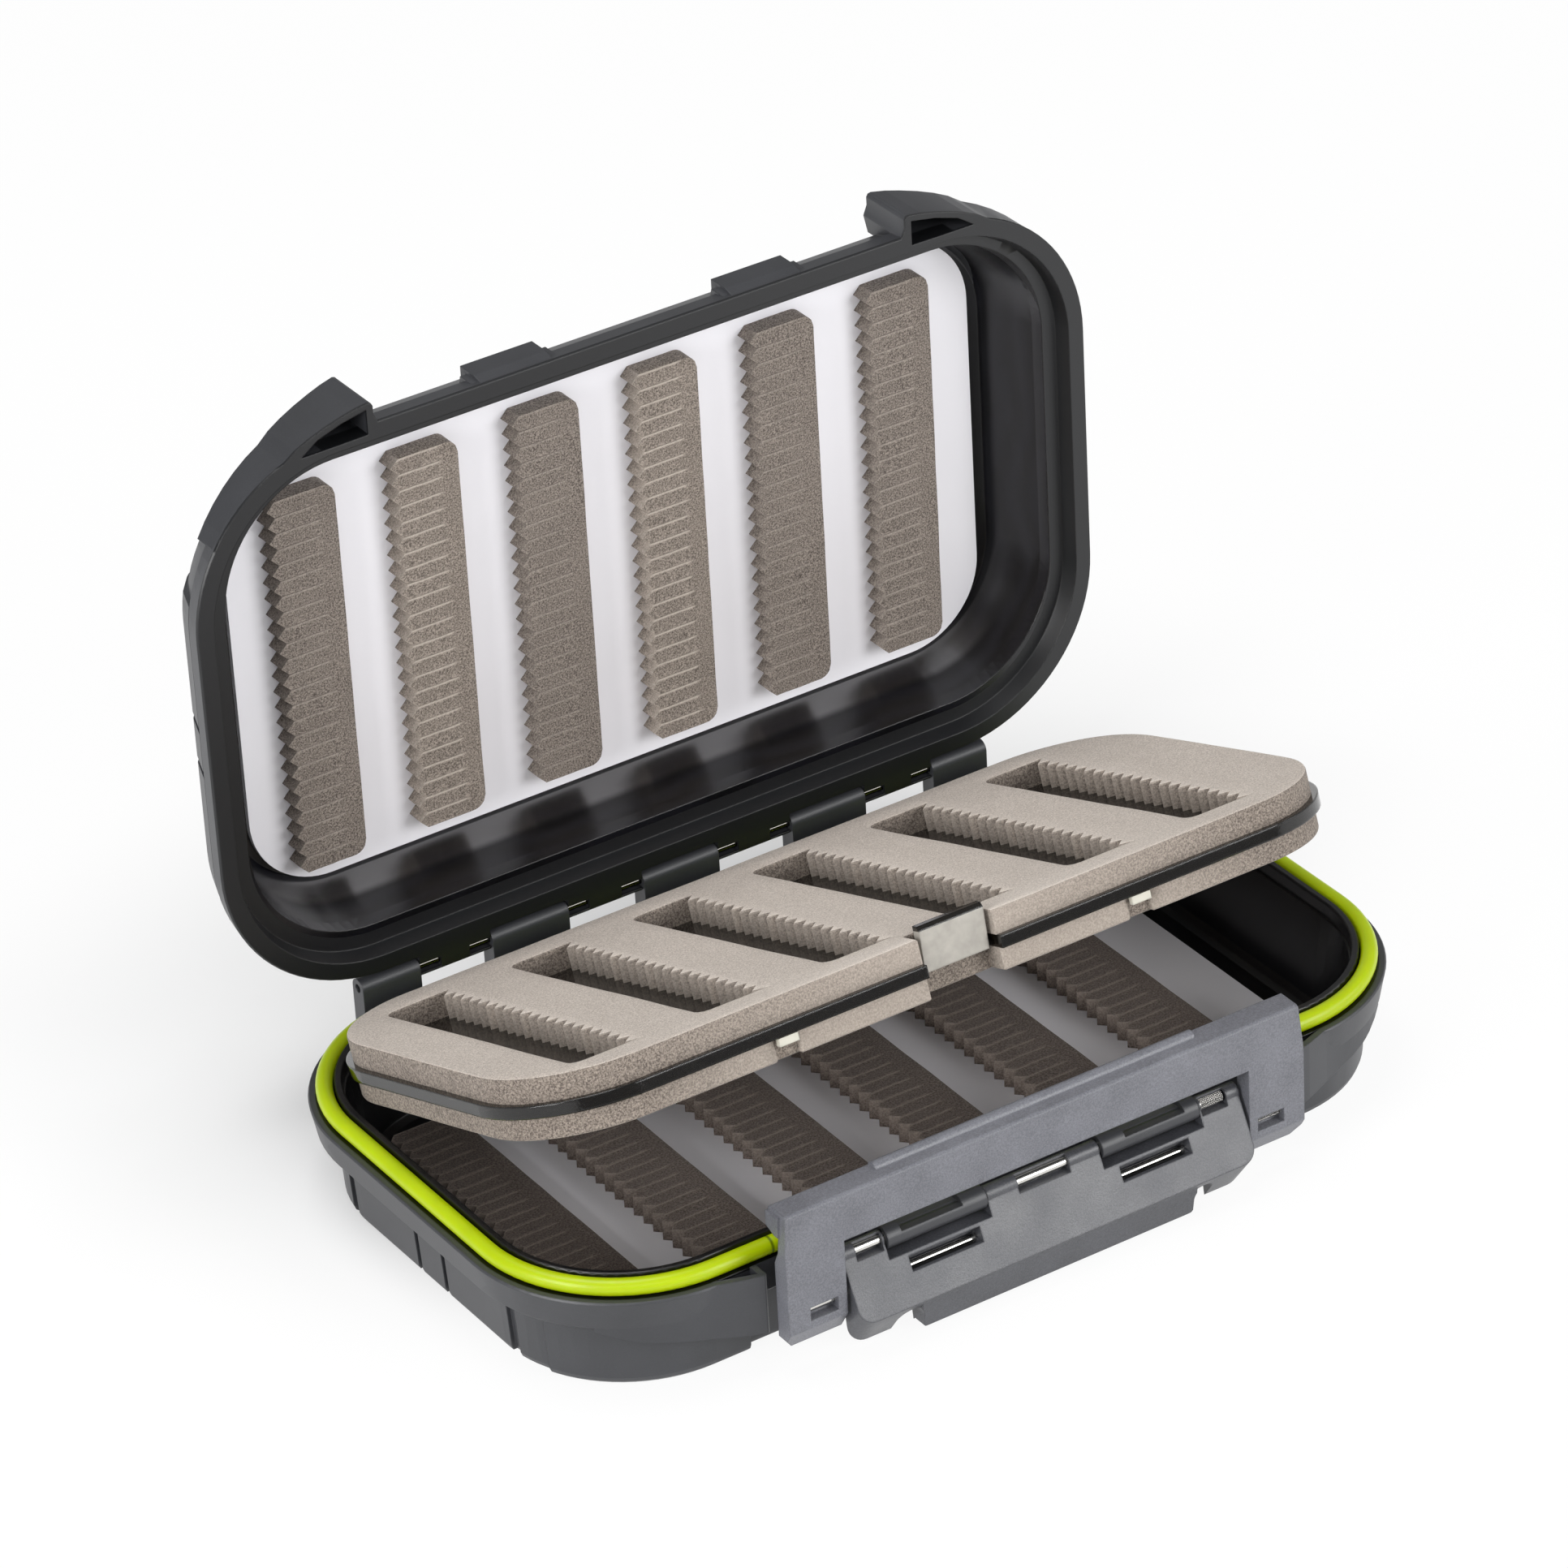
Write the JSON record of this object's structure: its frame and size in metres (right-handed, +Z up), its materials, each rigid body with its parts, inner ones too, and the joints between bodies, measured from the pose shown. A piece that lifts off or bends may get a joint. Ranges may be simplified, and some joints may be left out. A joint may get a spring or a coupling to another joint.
{
  "type": "fly box",
  "caption": "Shallow gasketed case with a hinged lid, toothed foam strips inside, a foam-faced swinging leaf and a lever latch with a hooked bail.",
  "frame": {"origin": "centre of the flat underside of the base", "axes": "+X along the hinge, +Y from the latch to the hinge, +Z up out of the base"},
  "size_m": [0.19, 0.1428, 0.1425],
  "materials": {
    "shell": "satin moulded",
    "gasket": "smooth",
    "white_plate": "smooth",
    "base_foam": "closed-cell foam",
    "lid_foam": "closed-cell foam",
    "leaf_foam": "closed-cell foam",
    "steel": "polished",
    "smoke": "clear smoked",
    "latch": "fine spark texture"
  },
  "bodies": {
    "base": {"base_shell": "shell", "gasket": "gasket", "base_plate": "white_plate", "base_strip_1": "base_foam", "base_strip_2": "base_foam", "base_strip_3": "base_foam", "base_strip_4": "base_foam", "base_strip_5": "base_foam", "base_strip_6": "base_foam", "hinge_pin": "steel", "leaf_pins": "steel", "lever_pin": "steel"},
    "lid": {"lid_shell": "shell", "lid_plate": "white_plate", "lid_strip_1": "lid_foam", "lid_strip_2": "lid_foam", "lid_strip_3": "lid_foam", "lid_strip_4": "lid_foam", "lid_strip_5": "lid_foam", "lid_strip_6": "lid_foam"},
    "leaf": {"leaf_plate": "smoke", "leaf_pad_top": "leaf_foam", "leaf_pad_bottom": "leaf_foam"},
    "lever": {"latch_lever": "latch", "bail_pin": "steel"},
    "bail": {"latch_bail": "latch"}
  },
  "joints": [
    {"name": "lid_hinge", "type": "hinge", "parent": "base", "child": "lid", "pos_m": [0, 0.0579, 0.0251], "axis": [-1, 0, 0], "range_deg": [-90, 0]},
    {"name": "leaf_hinge", "type": "hinge", "parent": "base", "child": "leaf", "pos_m": [0, 0.0473, 0.0223], "axis": [-1, 0, 0], "range_deg": [-19.8, 0]},
    {"name": "lever_hinge", "type": "hinge", "parent": "base", "child": "lever", "pos_m": [0, -0.0588, 0.019], "axis": [-1, 0, 0], "range_deg": [-8, 100]},
    {"name": "bail_hinge", "type": "hinge", "parent": "lever", "child": "bail", "pos_m": [0, -0.0603, 0.0122], "axis": [1, 0, 0], "range_deg": [-12, 141]}
  ],
  "couplings": [
    {"joint": "leaf_hinge", "follows": "lid_hinge", "ratio": 0.22},
    {"joint": "bail_hinge", "follows": "lever_hinge", "ratio": 1.4}
  ]
}
